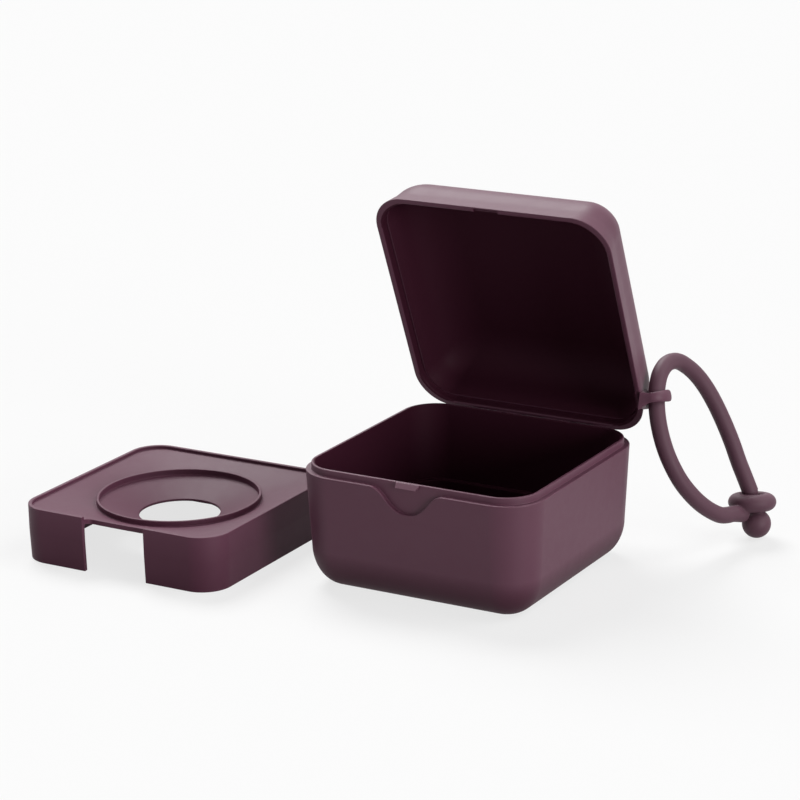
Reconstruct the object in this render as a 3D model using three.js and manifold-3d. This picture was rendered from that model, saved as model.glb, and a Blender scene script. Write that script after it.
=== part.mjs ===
// A pacifier sterilizer case: a rounded square box with a hinged lid, a lift-out insert tray and
// a carrying strap that is looped through an eyelet on the lid. Millimetres, +Z up.
// The origin is at the middle of the box's flat underside. The front faces -Y and the hinge is at +Y.
// The lid stands open, the tray stands on the ground to the left, and the strap's ball rests on it.
import * as THREE from 'three';
import { mergeVertices } from 'three/addons/utils/BufferGeometryUtils.js';
import Module from 'manifold-3d';

const wasm = await Module();
wasm.setup();

// Shared values
const touchGap = 0.35; // between pieces that meet
const overrun = 1; // how far a cut passes the face that it opens
const bite = 1; // how far a joined form sinks into the wall that carries it
const cornerSteps = 8; // facets in a quarter turn of a wall
const curveSteps = 7; // facets in the section of a rounding
const edgeSteps = 2; // facets in a small edge's rounding
const quarterTurn = Math.PI / 2;

// Case base
const baseHalf = 46; // half the width, at the ledge
const baseCorner = 14.8;
const ledgeHeight = 42.5;
const lipRise = 2.4; // the lip that the lid closes over
const lipInset = 2;
const lipWall = 1.3;
const baseDraft = 1.6;
const footRise = 14.5; // the big rounding under the walls
const footInset = 11;
const floorThickness = 2.2;
const floorFillet = 9;
const shoulderHeight = 16; // carries the tray in use
const shoulderWidth = 2.1;
const lipHalf = baseHalf - lipInset;
const lipTop = ledgeHeight + lipRise;
const lipCorner = baseCorner - lipInset;
const cavityHalf = lipHalf - lipWall;
const cavityCorner = lipCorner - lipWall;

// Finger recess and catch at the front
const recessHalf = 14.5; // half the width at the ledge
const recessDrop = 8.6;
const recessFlareShare = 0.59; // where the flared top's handle lies, of the half width
const recessFloorShare = 0.55; // where the round floor's handle lies, of the half width
const recessSteps = 12; // facets in each half
const catchTopWidth = 9.3;
const catchFootWidth = 8;
const catchRise = 0.7; // from the ledge to the catch's foot
const catchHeight = 1.8;
const catchDepth = 0.9;

// Lid, in its closed place
const lidRestGap = 0.3; // between the ledge and the lid's rim
const lidOverhang = 0.65;
const lidCorner = 13.6;
const lidDepth = 24.3;
const lidSkirt = 8.4; // the straight band above the rim
const lidDraft = 2.4;
const crownInset = 16; // the big rounding over the walls
const crownCornerShare = 0.35; // of the corner radius that is left at the top
const lidWall = 2.9;
const lidRoof = 2.5;
const rebateDepth = 2.8; // the step in the rim that takes the lip
const rebateGap = 0.3;
const lidHalf = baseHalf + lidOverhang;
const lidMouth = ledgeHeight + lidRestGap;
const rebateHalf = lipHalf + rebateGap;
const lidOpen = THREE.MathUtils.degToRad(67.3); // as it stands
const lidStop = THREE.MathUtils.degToRad(70.5); // where its heels meet the base

// Hinge
const hingeBack = 1.5; // the axis behind the base's back wall
const hingeDrop = 1.3; // the axis below the ledge
const hingeWidth = 50;
const knuckleCount = 5;
const knuckleRadius = 2.2;
const knuckleGap = 0.4;
const pinRadius = 0.9;
const pinGap = 0.3;
const webRise = 6.5; // the lid's knuckle web, above the axis
const webTurn = THREE.MathUtils.degToRad(30); // where that web leaves the knuckle
const heelReach = 4; // the lid's stop heel, from the axis
const heelWidth = 1.6;
const knuckleSides = 20;
const hingeY = baseHalf + hingeBack;
const hingeZ = ledgeHeight - hingeDrop;

// Eyelet on the lid's right wall, in the lid's closed place
const eyeletReach = 3.8; // from the lid's rim out to the middle of the hole
const eyeletBack = 32.1; // the hole behind the lid's middle
const eyeletRise = 4.43; // the hole above the lid's rim
const eyeletTilt = THREE.MathUtils.degToRad(-54.3); // the hole's axis from upright
const eyeletLift = THREE.MathUtils.degToRad(15); // how far the lug's end is turned up
const eyeletThickness = 3.4;
const eyeletBar = 1.45;
const eyeletFlare = 1.2; // how much wider the legs are at the wall
const eyeletHoleAcross = 7.2;
const eyeletHoleAlong = 10.2;
const eyeletEdge = 0.6;
const eyeletRoot = 7.2; // from the hole's middle into the wall
const eyeletSides = 28;

// Insert tray
const trayClearance = 0.35; // to the base's cavity, in use
const trayHeight = 20.5;
const trayWall = 1.6;
const trayTaper = 0.4; // how far the skirt's lower part leans in
const trayTaperRise = 11; // up to this height
const trayRimWidth = 1.5;
const trayEdge = 0.5;
const deckDrop = 1.1; // from the rim down to the deck's outer edge
const deckFall = 3; // from there down to the ring's foot
const deckThickness = 1.9;
const trayRingRadius = 30.2;
const trayRingWidth = 1;
const trayRingDrop = 2; // from the rim down to the ring's top
const trayHoleRadius = 14.9;
const trayHoleDrop = 8.9; // from the rim down to the hole's edge
const trayHoleEdge = 0.9; // the dish's thickness there
const notchWidth = 26.2;
const notchDepth = 4.5;
const notchCorner = 1.6;
const notchSteps = 4; // facets in its round corner
const traySideGap = 19.4; // between the tray and the case as they stand
const trayForward = 24.5;
const trayHalf = cavityHalf - trayClearance;
const trayCorner = cavityCorner - trayClearance;

// Strap, in its place on the ground. Its points are in the whole part's frame.
const strapDiameter = 6;
const strapSides = 10;
const strapSteps = 44;
const strapRoute = [
  [73.2, 64.6, 12.0], [72.3, 61.6, 12.3], [71.1, 58.3, 13.1], [69.0, 53.6, 16.0], [66.8, 49.4, 19.7],
  [64.4, 46.1, 24.0], [61.9, 43.6, 28.8], [59.5, 42.0, 34.1], [57.1, 41.5, 39.5], [54.9, 41.9, 45.1],
  [52.9, 43.3, 50.5], [51.2, 45.6, 55.7], [49.8, 48.9, 60.6], [49.0, 53.2, 64.8], [49.1, 58.9, 67.0],
  [50.3, 64.8, 66.5], [52.5, 69.5, 63.3], [54.8, 73.0, 59.2], [57.3, 75.4, 54.3], [59.7, 77.0, 49.1],
  [62.1, 77.9, 43.8], [64.6, 78.2, 38.4], [67.1, 78.0, 33.0], [69.6, 77.4, 27.5], [72.3, 76.8, 22.3],
  [73.8, 76.5, 19.3], [74.9, 76.3, 17.1],
].map((point) => new THREE.Vector3(...point));
const ballRadius = 5.35;
const ballPlace = new THREE.Vector3(77.6, 76.1, 5.4);
const neckRadius = 2.1;
const eyeOuterRadius = 8.8;
const eyeHalfHeight = 3.3;
const eyeCrown = 3.8; // how far its round outside reaches in from its edge
const eyeBore = 4;
const eyeBoreEdge = 0.9;
const eyePlace = new THREE.Vector3(75.7, 76.2, 13.4);
const eyeTilt = THREE.MathUtils.degToRad(11); // leans back, away from the case's front
const eyeLeanHeading = THREE.MathUtils.degToRad(30); // of that lean, from straight back to the left
const stubDrop = 2.8; // the stub's end below the eye's middle
const stubBite = 1.6; // how far it sinks into the eye's edge
const eyeRingSteps = 28;
const ballSteps = 20;

// A closed outline at one height: a square with round corners, or a circle where the corner is
// half the width.
function outline(half, corner, height) {
  const radius = Math.min(corner, half);
  const centre = half - radius;
  const points = [];
  for (let quarter = 0; quarter < 4; quarter += 1) {
    const sideX = quarter === 0 || quarter === 3 ? centre : -centre;
    const sideY = quarter < 2 ? centre : -centre;
    for (let step = 0; step <= cornerSteps; step += 1) {
      const angle = (quarter + step / cornerSteps) * quarterTurn;
      const x = sideX + radius * Math.cos(angle);
      const y = sideY + radius * Math.sin(angle);
      points.push(new THREE.Vector3(x, y, height));
    }
  }
  return points;
}

// A body skinned over outlines from the lowest up, or round a hollow where the last meets the first.
function skin(outlines, meetsItself = false) {
  const count = outlines[0].length;
  const points = outlines.flat();
  const faces = [];
  const rows = meetsItself ? outlines.length : outlines.length - 1;
  for (let row = 0; row < rows; row += 1) {
    const above = ((row + 1) % outlines.length) * count;
    for (let i = 0; i < count; i += 1) {
      const j = (i + 1) % count;
      faces.push(row * count + i, row * count + j, above + j);
      faces.push(row * count + i, above + j, above + i);
    }
  }
  if (!meetsItself) {
    const top = (outlines.length - 1) * count;
    const floorCentre = points.push(new THREE.Vector3(0, 0, points[0].z)) - 1;
    const roofCentre = points.push(new THREE.Vector3(0, 0, points[top].z)) - 1;
    for (let i = 0; i < count; i += 1) {
      const j = (i + 1) % count;
      faces.push(floorCentre, j, i);
      faces.push(roofCentre, top + i, top + j);
    }
  }
  const geometry = new THREE.BufferGeometry().setFromPoints(points);
  geometry.setIndex(faces);
  return geometry;
}

// Turns a closed geometry into a solid, with shared corners and without empty faces.
function solid(geometry) {
  geometry.deleteAttribute('normal');
  geometry.deleteAttribute('uv');
  const merged = mergeVertices(geometry);
  const corners = merged.index.array;
  const kept = [];
  for (let i = 0; i < corners.length; i += 3) {
    const [a, b, c] = corners.subarray(i, i + 3);
    if (a !== b && b !== c && c !== a) kept.push(a, b, c);
  }
  const vertProperties = new Float32Array(merged.attributes.position.array);
  const triVerts = new Uint32Array(kept);
  return new wasm.Manifold(new wasm.Mesh({ numProp: 3, vertProperties, triVerts }));
}

function named(name, body, colour, roughness) {
  const result = body.getMesh();
  const geometry = new THREE.BufferGeometry();
  geometry.setAttribute('position', new THREE.BufferAttribute(result.vertProperties, 3));
  geometry.setIndex(new THREE.BufferAttribute(result.triVerts, 1));
  geometry.computeVertexNormals();
  const material = new THREE.MeshStandardMaterial({ color: colour, roughness, metalness: 0 });
  const mesh = new THREE.Mesh(geometry, material);
  mesh.name = name;
  return mesh;
}

// A flat outline in Y and Z, extruded along X between two places.
function extrudeAcross(shape, fromX, toX) {
  const geometry = new THREE.ExtrudeGeometry(shape, { depth: toX - fromX, bevelEnabled: false });
  geometry.rotateX(quarterTurn);
  geometry.rotateZ(quarterTurn);
  geometry.translate(fromX, 0, 0);
  return solid(geometry);
}

function rodAcross(radius, fromX, toX) {
  const rod = new THREE.CylinderGeometry(radius, radius, toX - fromX, knuckleSides);
  rod.rotateZ(quarterTurn);
  rod.translate((fromX + toX) / 2, hingeY, hingeZ);
  return solid(rod);
}

// The places along the hinge of each knuckle of one leaf, the base's even ones or the lid's odd ones.
function knucklePlaces(first) {
  const pitch = hingeWidth / knuckleCount;
  const places = [];
  for (let i = first; i < knuckleCount; i += 2) {
    const from = (i - knuckleCount / 2) * pitch + knuckleGap / 2;
    places.push([from, from + pitch - knuckleGap]);
  }
  return places;
}

const pocketRadius = knuckleRadius + knuckleGap;
const pinHole = rodAcross(pinRadius + pinGap, -hingeWidth / 2 - overrun, hingeWidth / 2 + overrun);

// The walls lean out from the foot's rounding to the ledge, and the lip stands on the ledge.
function makeBase() {
  const wallFoot = baseHalf - baseDraft;
  const wallFootCorner = baseCorner - baseDraft;
  const outside = [];
  for (let step = 0; step <= curveSteps; step += 1) {
    const angle = (step / curveSteps) * quarterTurn;
    const inset = footInset * (1 - Math.sin(angle));
    outside.push(outline(wallFoot - inset, wallFootCorner - inset, footRise * (1 - Math.cos(angle))));
  }
  outside.push(outline(baseHalf, baseCorner, ledgeHeight));
  outside.push(outline(lipHalf, lipCorner, ledgeHeight));
  outside.push(outline(lipHalf, lipCorner, lipTop));

  const lowerHalf = cavityHalf - shoulderWidth;
  const lowerCorner = cavityCorner - shoulderWidth;
  const inside = [];
  for (let step = 0; step <= curveSteps; step += 1) {
    const angle = (step / curveSteps) * quarterTurn;
    const inset = floorFillet * (1 - Math.sin(angle));
    const height = floorThickness + floorFillet * (1 - Math.cos(angle));
    inside.push(outline(lowerHalf - inset, lowerCorner - inset, height));
  }
  inside.push(outline(lowerHalf, lowerCorner, shoulderHeight));
  inside.push(outline(cavityHalf, cavityCorner, shoulderHeight));
  inside.push(outline(cavityHalf, cavityCorner, lipTop + overrun));

  // The recess is cut back to the lip's face, so the lid's rim can be lifted there.
  const recess = new THREE.Shape();
  recess.moveTo(-recessHalf, ledgeHeight + overrun);
  recess.lineTo(-recessHalf, ledgeHeight);
  const flare = recessHalf * recessFlareShare;
  const floorHandle = recessHalf * recessFloorShare;
  const recessFloor = ledgeHeight - recessDrop;
  recess.bezierCurveTo(-flare, ledgeHeight, -floorHandle, recessFloor, 0, recessFloor);
  recess.bezierCurveTo(floorHandle, recessFloor, flare, ledgeHeight, recessHalf, ledgeHeight);
  recess.lineTo(recessHalf, ledgeHeight + overrun);
  const recessCut = new THREE.ExtrudeGeometry(recess, {
    depth: lipInset + overrun,
    curveSegments: recessSteps,
    bevelEnabled: false,
  });
  recessCut.rotateX(quarterTurn);
  recessCut.translate(0, -lipHalf, 0);

  const catchFoot = ledgeHeight + catchRise;
  const catchShape = new THREE.Shape();
  catchShape.moveTo(-catchFootWidth / 2, catchFoot);
  catchShape.lineTo(catchFootWidth / 2, catchFoot);
  catchShape.lineTo(catchTopWidth / 2, catchFoot + catchHeight);
  catchShape.lineTo(-catchTopWidth / 2, catchFoot + catchHeight);
  const catchBody = new THREE.ExtrudeGeometry(catchShape, {
    depth: catchDepth + lipWall / 2,
    bevelEnabled: false,
  });
  catchBody.rotateX(quarterTurn);
  catchBody.translate(0, -lipHalf + lipWall / 2, 0);

  let body = solid(skin(outside)).subtract(solid(recessCut)).add(solid(catchBody));
  for (const [from, to] of knucklePlaces(1)) {
    body = body.subtract(rodAcross(pocketRadius, from - knuckleGap, to + knuckleGap));
  }
  const slant = knuckleRadius * Math.SQRT1_2;
  const webBack = -hingeBack - bite;
  const web = new THREE.Shape();
  web.moveTo(hingeY + webBack, hingeZ + hingeDrop);
  web.lineTo(hingeY, hingeZ + hingeDrop);
  web.lineTo(hingeY + slant, hingeZ - slant);
  web.lineTo(hingeY + webBack, hingeZ - slant * 2 + webBack);
  for (const [from, to] of knucklePlaces(0)) {
    body = body.add(rodAcross(knuckleRadius, from, to)).add(extrudeAcross(web, from, to));
  }
  return body.subtract(solid(skin(inside))).subtract(pinHole);
}

// The lid's outer half width at a height above its rim, on the skirt.
const lidHalfAt = (rise) => lidHalf - (lidDraft * rise) / lidSkirt;

// A lug that stands out from the right wall, with an oval hole for the strap.
function makeEyelet() {
  const outerAcross = eyeletHoleAcross / 2 + eyeletBar;
  const outerAlong = eyeletHoleAlong / 2 + eyeletBar;
  const lug = new THREE.Shape();
  const flareAlong = outerAlong + eyeletFlare;
  lug.moveTo(-eyeletRoot, -flareAlong);
  for (let step = 0; step <= eyeletSides / 2; step += 1) {
    const angle = (step / (eyeletSides / 2)) * Math.PI - quarterTurn;
    lug.lineTo(outerAcross * Math.cos(angle), outerAlong * Math.sin(angle));
  }
  lug.lineTo(-eyeletRoot, flareAlong);
  const hole = new THREE.Path();
  hole.absellipse(0, 0, eyeletHoleAcross / 2, eyeletHoleAlong / 2, 0, Math.PI * 2, true, 0);
  lug.holes.push(hole);
  const geometry = new THREE.ExtrudeGeometry(lug, {
    depth: eyeletThickness - eyeletEdge * 2,
    curveSegments: eyeletSides / 2,
    bevelSize: eyeletEdge,
    bevelOffset: -eyeletEdge,
    bevelThickness: eyeletEdge,
    bevelSegments: edgeSteps,
  });
  geometry.translate(0, 0, eyeletEdge - eyeletThickness / 2);
  geometry.rotateY(-eyeletLift);
  geometry.rotateX(-eyeletTilt);
  geometry.translate(lidHalf + eyeletReach, eyeletBack, lidMouth + eyeletRise);
  const underRim = new THREE.BoxGeometry(lidHalf, lidHalf, lidDepth);
  underRim.translate(lidHalf / 2 + touchGap, eyeletBack, lidMouth - lidDepth / 2);
  return solid(geometry).subtract(solid(underRim));
}

function makeLid() {
  const crownRise = lidDepth - lidSkirt;
  const skirtHalf = lidHalf - lidDraft;
  const skirtCorner = lidCorner - lidDraft;
  const skirtTop = lidMouth + lidSkirt;
  const outside = [outline(lidHalf, lidCorner, lidMouth)];
  const innerCrown = crownInset - lidWall + lidRoof;
  const innerRise = crownRise - lidRoof;
  const inside = [outline(rebateHalf, lipCorner + rebateGap, lidMouth - overrun)];
  inside.push(outline(rebateHalf, lipCorner + rebateGap, lidMouth + rebateDepth));
  const stepHalf = lidHalfAt(rebateDepth) - lidWall;
  inside.push(outline(stepHalf, lidCorner - lidHalf + stepHalf, lidMouth + rebateDepth));
  for (let step = 0; step <= curveSteps; step += 1) {
    const angle = (step / curveSteps) * quarterTurn;
    const insetShare = 1 - Math.cos(angle);
    const cornerShare = 1 - insetShare * (1 - crownCornerShare);
    const riseShare = Math.sin(angle);
    const outerHalf = skirtHalf - crownInset * insetShare;
    outside.push(outline(outerHalf, skirtCorner * cornerShare, skirtTop + crownRise * riseShare));
    const innerHalf = skirtHalf - lidWall - innerCrown * insetShare;
    const innerCorner = (skirtCorner - lidWall) * cornerShare;
    inside.push(outline(innerHalf, innerCorner, skirtTop + innerRise * riseShare));
  }

  let body = solid(skin(outside));
  for (const [from, to] of knucklePlaces(0)) {
    body = body.subtract(rodAcross(pocketRadius, from - knuckleGap, to + knuckleGap));
  }

  // Each knuckle has a web up the back wall and a heel that meets the base's wall when fully open.
  const webInner = lidHalf - bite;
  const webTopInner = lidHalfAt(webRise - lidMouth + hingeZ) - bite;
  const web = new THREE.Shape();
  web.moveTo(hingeY, hingeZ);
  web.lineTo(hingeY + knuckleRadius * Math.cos(webTurn), hingeZ + knuckleRadius * Math.sin(webTurn));
  web.lineTo(webTopInner, hingeZ + webRise);
  web.lineTo(webInner, lidMouth);

  const contact = knuckleGap - hingeBack;
  const heelDrop = -Math.sqrt(heelReach ** 2 - contact ** 2);
  const slant = knuckleRadius * Math.SQRT1_2;
  const heelCorners = [[contact, heelDrop], [contact, 0], [slant, -slant], [contact + heelWidth, heelDrop]];
  const heel = new THREE.Shape(heelCorners.map(([back, up]) => {
    const corner = new THREE.Vector2(back, up).rotateAround(new THREE.Vector2(), lidStop);
    return corner.add(new THREE.Vector2(hingeY, hingeZ));
  }));
  for (const [from, to] of knucklePlaces(1)) {
    body = body.add(rodAcross(knuckleRadius, from, to));
    body = body.add(extrudeAcross(web, from, to)).add(extrudeAcross(heel, from, to));
  }

  // The rim takes the catch in a groove that is open below.
  const grooveHeight = overrun + rebateDepth;
  const grooveDepth = catchDepth + rebateGap + overrun;
  const groove = new THREE.BoxGeometry(catchTopWidth + touchGap * 2, grooveDepth, grooveHeight);
  const grooveY = -lipHalf - catchDepth - rebateGap + grooveDepth / 2;
  groove.translate(0, grooveY, lidMouth - overrun + grooveHeight / 2);
  body = body.add(makeEyelet()).subtract(solid(skin(inside)));
  return body.subtract(solid(groove)).subtract(pinHole);
}

function makePin() {
  return rodAcross(pinRadius, -hingeWidth / 2 + knuckleGap, hingeWidth / 2 - knuckleGap);
}

// The tray's section runs up the outside, over the rim, down the deck and its ring to the hole, and
// back below. The skirt's lower part leans in, so that it enters the base easily.
function makeTray() {
  const rimInner = trayHalf - trayRimWidth;
  const wallInner = trayHalf - trayWall;
  const ringInner = trayRingRadius - trayRingWidth;
  const ringFoot = trayHeight - deckDrop - deckFall;
  const holeEdge = trayHeight - trayHoleDrop;
  const square = (half, height) => outline(half, trayCorner - trayHalf + half, height);
  const round = (radius, height) => outline(radius, radius, height);
  const section = [
    square(trayHalf - trayTaper, 0),
    square(trayHalf, trayTaperRise),
    square(trayHalf, trayHeight - trayEdge),
    square(trayHalf - trayEdge, trayHeight),
    square(rimInner, trayHeight),
    square(rimInner, trayHeight - deckDrop),
    round(trayRingRadius, ringFoot),
    round(trayRingRadius, trayHeight - trayRingDrop),
    round(ringInner, trayHeight - trayRingDrop),
    round(ringInner, ringFoot),
    round(trayHoleRadius, holeEdge),
    round(trayHoleRadius, holeEdge - trayHoleEdge),
    round(ringInner, ringFoot - deckThickness),
    square(wallInner, trayHeight - deckDrop - deckThickness),
    square(wallInner, trayTaperRise),
    square(wallInner - trayTaper, 0),
  ];
  const notch = new THREE.Shape();
  const side = notchWidth / 2;
  const back = notchDepth - trayHalf;
  notch.moveTo(-side, -trayHalf - overrun);
  notch.lineTo(side, -trayHalf - overrun);
  notch.lineTo(side, back - notchCorner);
  notch.absarc(side - notchCorner, back - notchCorner, notchCorner, 0, quarterTurn, false);
  notch.absarc(notchCorner - side, back - notchCorner, notchCorner, quarterTurn, Math.PI, false);
  const notchCut = new THREE.ExtrudeGeometry(notch, {
    depth: trayHeight + overrun * 2,
    curveSegments: notchSteps,
    bevelEnabled: false,
  });
  notchCut.translate(0, 0, -overrun);
  return solid(skin(section, true)).subtract(solid(notchCut));
}

function ballAt(place, radius) {
  const ball = new THREE.SphereGeometry(radius, ballSteps, ballSteps / 2);
  ball.rotateX(quarterTurn);
  ball.translate(place.x, place.y, place.z);
  return solid(ball);
}

// A round bar between two points, with flat ends.
function bar(from, to, radius) {
  const along = to.clone().sub(from);
  const geometry = new THREE.CylinderGeometry(radius, radius, along.length(), strapSides * 2);
  const upright = new THREE.Vector3(0, 1, 0);
  const direction = along.clone().normalize();
  geometry.applyQuaternion(new THREE.Quaternion().setFromUnitVectors(upright, direction));
  const middle = from.clone().add(to).multiplyScalar(1 / 2);
  geometry.translate(middle.x, middle.y, middle.z);
  return solid(geometry);
}

const strapPath = new THREE.CatmullRomCurve3(strapRoute);
const cordStart = strapPath.getPointAt(0);
const cordStartOutward = strapPath.getTangentAt(0).negate();
const cordEnd = strapPath.getPointAt(1);
const cordEndOutward = strapPath.getTangentAt(1);

// The strap's round cord, from the eye's stub up through the eyelet and down to the ball's neck.
function makeCord() {
  const section = new THREE.Shape();
  for (let side = 0; side < strapSides; side += 1) {
    const angle = (side / strapSides) * Math.PI * 2;
    const x = (strapDiameter / 2) * Math.cos(angle);
    const y = (strapDiameter / 2) * Math.sin(angle);
    if (side === 0) section.moveTo(x, y);
    else section.lineTo(x, y);
  }
  return solid(new THREE.ExtrudeGeometry(section, { steps: strapSteps, extrudePath: strapPath }));
}

// The eye's section, a round outside and a bore with broken edges: radii, and heights from its middle.
function eyeSection() {
  const boreMouth = eyeBore + eyeBoreEdge;
  const section = [new THREE.Vector2(boreMouth, -eyeHalfHeight)];
  for (let step = 0; step <= strapSides; step += 1) {
    const angle = (step / strapSides - 1 / 2) * Math.PI;
    const radius = eyeOuterRadius - eyeCrown * (1 - Math.cos(angle));
    section.push(new THREE.Vector2(radius, eyeHalfHeight * Math.sin(angle)));
  }
  section.push(new THREE.Vector2(boreMouth, eyeHalfHeight));
  section.push(new THREE.Vector2(eyeBore, eyeHalfHeight - eyeBoreEdge));
  section.push(new THREE.Vector2(eyeBore, eyeBoreEdge - eyeHalfHeight));
  section.push(section[0].clone());
  return section;
}

// The thick ring that the ball is pushed through, with the stub that the cord grows from.
function makeEye() {
  const ring = new THREE.LatheGeometry(eyeSection(), eyeRingSteps);
  ring.rotateX(quarterTurn);
  const lean = new THREE.Vector3(-Math.cos(eyeLeanHeading), -Math.sin(eyeLeanHeading), 0);
  ring.applyQuaternion(new THREE.Quaternion().setFromAxisAngle(lean, eyeTilt));
  ring.translate(eyePlace.x, eyePlace.y, eyePlace.z);
  const stubEnd = cordStart.clone().addScaledVector(cordStartOutward, touchGap);
  const stubKnee = stubEnd.clone().addScaledVector(cordStartOutward, strapDiameter / 2);
  const toStub = stubKnee.clone().sub(eyePlace).setZ(0).setLength(eyeOuterRadius - stubBite);
  const stubRoot = eyePlace.clone().add(toStub.setZ(-stubDrop));
  const stubRadius = strapDiameter / 2;
  const stub = bar(stubKnee, stubEnd, stubRadius).add(bar(stubRoot, stubKnee, stubRadius));
  return solid(ring).add(stub).add(ballAt(stubKnee, stubRadius)).add(ballAt(stubRoot, stubRadius));
}

// The ball with the neck that passes up through the eye to the cord's other end.
function makeBall() {
  const neckEnd = cordEnd.clone().addScaledVector(cordEndOutward, touchGap);
  const neckKnee = neckEnd.clone().addScaledVector(cordEndOutward, neckRadius);
  const neck = bar(ballPlace, neckKnee, neckRadius).add(bar(neckKnee, neckEnd, neckRadius));
  return ballAt(ballPlace, ballRadius).add(neck);
}

const plum = 0x6d525c;
const shellRoughness = 0.55;
const pinRoughness = 0.5;
const strapRoughness = 0.65;
const caseGroup = new THREE.Group();
caseGroup.add(named('case_base', makeBase(), plum, shellRoughness));
caseGroup.add(named('hinge_pin', makePin(), plum, pinRoughness));

// The lid's group turns about the hinge's axis, from its closed place to where it stands.
const lidTurn = new THREE.Group();
lidTurn.position.set(0, hingeY, hingeZ);
lidTurn.rotation.x = -lidOpen;
const lid = named('lid', makeLid(), plum, shellRoughness);
lid.position.set(0, -hingeY, -hingeZ);
lidTurn.add(lid);
caseGroup.add(lidTurn);

const tray = named('insert_tray', makeTray(), plum, shellRoughness);
tray.position.set(-baseHalf - traySideGap - trayHalf, -trayForward, 0);
caseGroup.add(tray);

caseGroup.add(named('strap_cord', makeCord(), plum, strapRoughness));
caseGroup.add(named('strap_eye', makeEye(), plum, strapRoughness));
caseGroup.add(named('strap_ball', makeBall(), plum, strapRoughness));

export default caseGroup;
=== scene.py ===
# A pacifier sterilizer case: a plum box with its lid open, its insert tray beside it and a loop strap.
# Its pieces are measured in millimetres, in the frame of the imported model, and their meshes are
# brought to metres as they are made.
import math

import bmesh
import bpy
from mathutils import Matrix, Vector


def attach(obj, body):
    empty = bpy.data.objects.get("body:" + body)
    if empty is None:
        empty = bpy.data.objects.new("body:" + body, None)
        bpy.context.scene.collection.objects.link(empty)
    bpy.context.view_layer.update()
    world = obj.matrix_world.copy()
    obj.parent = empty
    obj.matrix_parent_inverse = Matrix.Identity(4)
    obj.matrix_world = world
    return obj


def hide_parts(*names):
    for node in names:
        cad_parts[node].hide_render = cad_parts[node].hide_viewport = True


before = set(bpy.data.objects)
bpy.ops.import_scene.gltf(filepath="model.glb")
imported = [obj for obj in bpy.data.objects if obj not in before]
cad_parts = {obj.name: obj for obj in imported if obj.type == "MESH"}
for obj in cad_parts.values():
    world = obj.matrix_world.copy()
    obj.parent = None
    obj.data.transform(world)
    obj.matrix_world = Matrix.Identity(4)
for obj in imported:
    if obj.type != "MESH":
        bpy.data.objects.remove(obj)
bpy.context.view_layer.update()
mm = 0.001


# Camera
# It stands a metre away, to the right of the front and a little above, with a long lens.
camera_place = Vector((461.62, -844.93, 355.42)) * mm
camera_yaw = math.radians(30.085)
camera_pitch = math.radians(16.897)
camera_roll = math.radians(-0.993)
forward = Vector((
    -math.sin(camera_yaw) * math.cos(camera_pitch),
    math.cos(camera_yaw) * math.cos(camera_pitch),
    -math.sin(camera_pitch),
))
level = Vector((math.cos(camera_yaw), math.sin(camera_yaw), 0))
upright = level.cross(forward)
right = level * math.cos(camera_roll) + upright * math.sin(camera_roll)
above = upright * math.cos(camera_roll) - level * math.sin(camera_roll)

camera_data = bpy.data.cameras.new("camera")
camera_data.sensor_width = 36
camera_data.lens = 129.16
camera_data.clip_end = 50
camera = bpy.data.objects.new("camera", camera_data)
camera_turn = Matrix((right, above, -forward)).transposed().to_4x4()
camera.matrix_world = Matrix.Translation(camera_place) @ camera_turn
bpy.context.scene.collection.objects.link(camera)
bpy.context.scene.camera = camera
bpy.context.scene.view_settings.view_transform = "Standard"


# Strap
# One soft silicone moulding: a round cord with an eye at one end and a ball on a neck at the other.
# The cord is looped through the lid's eyelet and closed by pushing the ball through its own eye.
strap_diameter = 6
strap_radius = strap_diameter / 2
# The cord's middle line, from the eye round through the eyelet to the neck.
strap_route = [
    (73.2, 64.6, 12.0), (72.3, 61.6, 12.3), (71.1, 58.3, 13.1), (69.0, 53.6, 16.0), (66.8, 49.4, 19.7),
    (64.4, 46.1, 24.0), (61.9, 43.6, 28.8), (59.5, 42.0, 34.1), (57.1, 41.5, 39.5), (54.9, 41.9, 45.1),
    (52.9, 43.3, 50.5), (51.2, 45.6, 55.7), (49.8, 48.9, 60.6), (49.0, 53.2, 64.8), (49.1, 58.9, 67.0),
    (50.3, 64.8, 66.5), (52.5, 69.5, 63.3), (54.8, 73.0, 59.2), (57.3, 75.4, 54.3), (59.7, 77.0, 49.1),
    (62.1, 77.9, 43.8), (64.6, 78.2, 38.4), (67.1, 78.0, 33.0), (69.6, 77.4, 27.5), (72.3, 76.8, 22.3),
    (73.8, 76.5, 19.3), (74.9, 76.3, 17.1),
]
ball_radius = 5.35
ball_place = Vector((77.6, 76.1, 5.4))
neck_radius = 2.1
eye_outer_radius = 8.8
eye_half_height = 3.3
eye_crown = 3.8
eye_bore = 4
eye_bore_edge = 0.9
eye_place = Vector((75.7, 76.2, 13.4))
eye_tilt = math.radians(11)
eye_lean_heading = math.radians(30)
stub_drop = 3  # the cord leaves the eye this much below its middle
stub_bite = 2.2  # how deep its root sits in the eye
neck_share = 0.72  # how much of the way from the ball to the cord is thin neck
entry_share = 0.97  # the rods of both joints run on inside the cord and get thinner than it
stub_end_share = 0.9
neck_end_share = 0.95
melt_grain = 0.26  # the fineness of the soft joints' mesh
melt_passes = 16


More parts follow.
